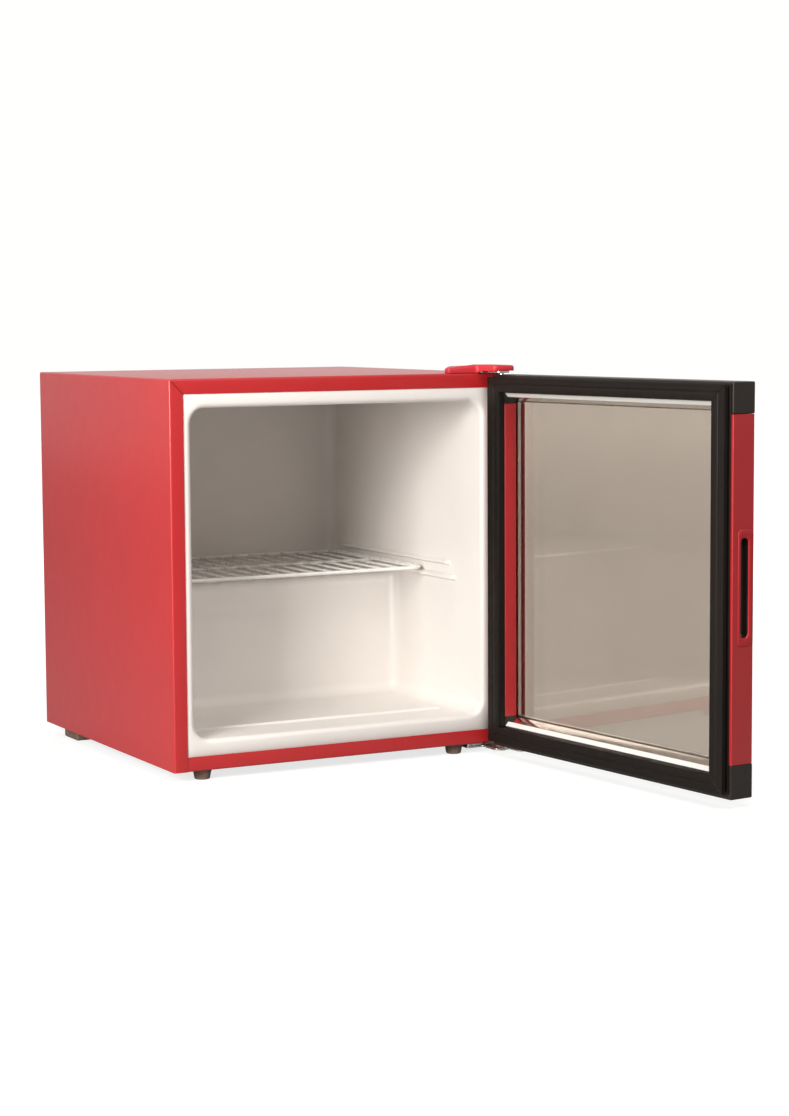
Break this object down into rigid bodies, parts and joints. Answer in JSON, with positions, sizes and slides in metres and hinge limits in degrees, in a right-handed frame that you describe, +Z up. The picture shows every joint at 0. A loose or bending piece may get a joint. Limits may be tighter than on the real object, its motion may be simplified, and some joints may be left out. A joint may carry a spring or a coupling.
{
  "type": "mini fridge",
  "caption": "Table-top drinks cooler: red steel cabinet, white liner with a wire shelf, and a framed double-glazed door standing open on right-hand pin hinges.",
  "frame": {"origin": "on the floor, under the middle of the box around the whole fridge with its door standing open", "axes": "+Z up, -Y out of the doorway towards the user, +X towards the hinge side"},
  "size_m": [0.5344, 0.9502, 0.5142],
  "materials": {
    "red_paint": "gloss red powder coat",
    "red_plastic": "satin moulded red",
    "white_liner": "vacuum-formed white, satin",
    "foam": "rigid foam, rough",
    "galvanised_steel": "galvanised sheet",
    "aluminium": "mill finish",
    "foot_plastic": "grey-brown moulded",
    "white_plastic": "moulded white",
    "white_wire": "white plastic-coated wire",
    "black_plastic": "satin black moulded",
    "black_enamel": "black stove enamel",
    "rubber": "moulded black rubber",
    "copper": "drawn copper, slightly dulled",
    "zinc_steel": "zinc plated",
    "glass": "clear float glass with a warm cast",
    "bright_trim": "polished bead",
    "gasket_rubber": "soft black magnetic seal"
  },
  "bodies": {
    "cabinet": {"outer_wrapper": "red_paint", "bottom_front_rail": "red_paint", "inner_liner": "white_liner", "insulation_foam": "foam", "base_plate": "galvanised_steel", "compartment_plate": "galvanised_steel", "back_panel": "galvanised_steel", "evaporator_plate": "aluminium", "rear_left_foot": "foot_plastic", "rear_right_foot": "foot_plastic", "thermostat_housing": "white_plastic", "compressor_tray": "galvanised_steel", "cord_gland": "black_plastic", "compressor": "black_enamel", "compressor_base": "black_enamel", "grommet_front_left": "rubber", "grommet_front_right": "rubber", "grommet_rear_left": "rubber", "grommet_rear_right": "rubber", "start_relay_cover": "black_plastic", "drip_pan": "white_plastic", "filter_drier": "copper", "capillary_tube": "copper", "suction_tube": "copper", "discharge_tube": "copper", "condenser_coil": "black_enamel", "condenser_bar_left": "black_enamel", "condenser_bar_right": "black_enamel", "top_hinge_bracket": "zinc_steel", "top_hinge_pin": "zinc_steel", "top_hinge_cover": "red_plastic", "bottom_hinge_bracket": "zinc_steel", "bottom_hinge_pin": "zinc_steel", "top_hinge_screw_left": "zinc_steel", "top_hinge_screw_right": "zinc_steel", "bottom_hinge_screw_left": "zinc_steel", "bottom_hinge_screw_right": "zinc_steel"},
    "door": {"hinge_stile": "red_paint", "handle_stile": "red_paint", "handle_bezel": "red_plastic", "handle_cup": "black_plastic", "door_top_cap": "black_plastic", "door_bottom_cap": "black_plastic", "top_hinge_bush": "white_plastic", "bottom_hinge_bush": "white_plastic", "door_stop_plate": "zinc_steel", "inner_glass": "glass", "outer_glass": "glass", "glass_spacer": "aluminium", "top_glazing_bead": "bright_trim", "bottom_glazing_bead": "bright_trim", "door_gasket": "gasket_rubber"},
    "shelf": {"wire_shelf": "white_wire"},
    "knob": {"thermostat_knob": "white_plastic"},
    "left_foot": {"front_left_foot": "foot_plastic"},
    "right_foot": {"front_right_foot": "foot_plastic"}
  },
  "joints": [
    {"name": "door_hinge", "type": "hinge", "parent": "cabinet", "child": "door", "pos_m": [0.19376, -0.01729, 0.013], "axis": [0, 0, 1], "range_deg": [-96, 24]},
    {"name": "shelf_slide", "type": "slide", "parent": "cabinet", "child": "shelf", "axis": [0, -1, 0], "range_m": [0, 0.14]},
    {"name": "thermostat_turn", "type": "hinge", "parent": "cabinet", "child": "knob", "pos_m": [-0.20724, 0.16041, 0.4225], "axis": [1, 0, 0], "range_deg": [0, 270]},
    {"name": "left_foot_screw", "type": "hinge", "parent": "cabinet", "child": "left_foot", "pos_m": [-0.22224, 0.02091, 0.007], "axis": [0, 0, 1], "continuous": true},
    {"name": "right_foot_screw", "type": "hinge", "parent": "cabinet", "child": "right_foot", "pos_m": [0.14075, 0.02091, 0.007], "axis": [0, 0, 1], "continuous": true}
  ]
}
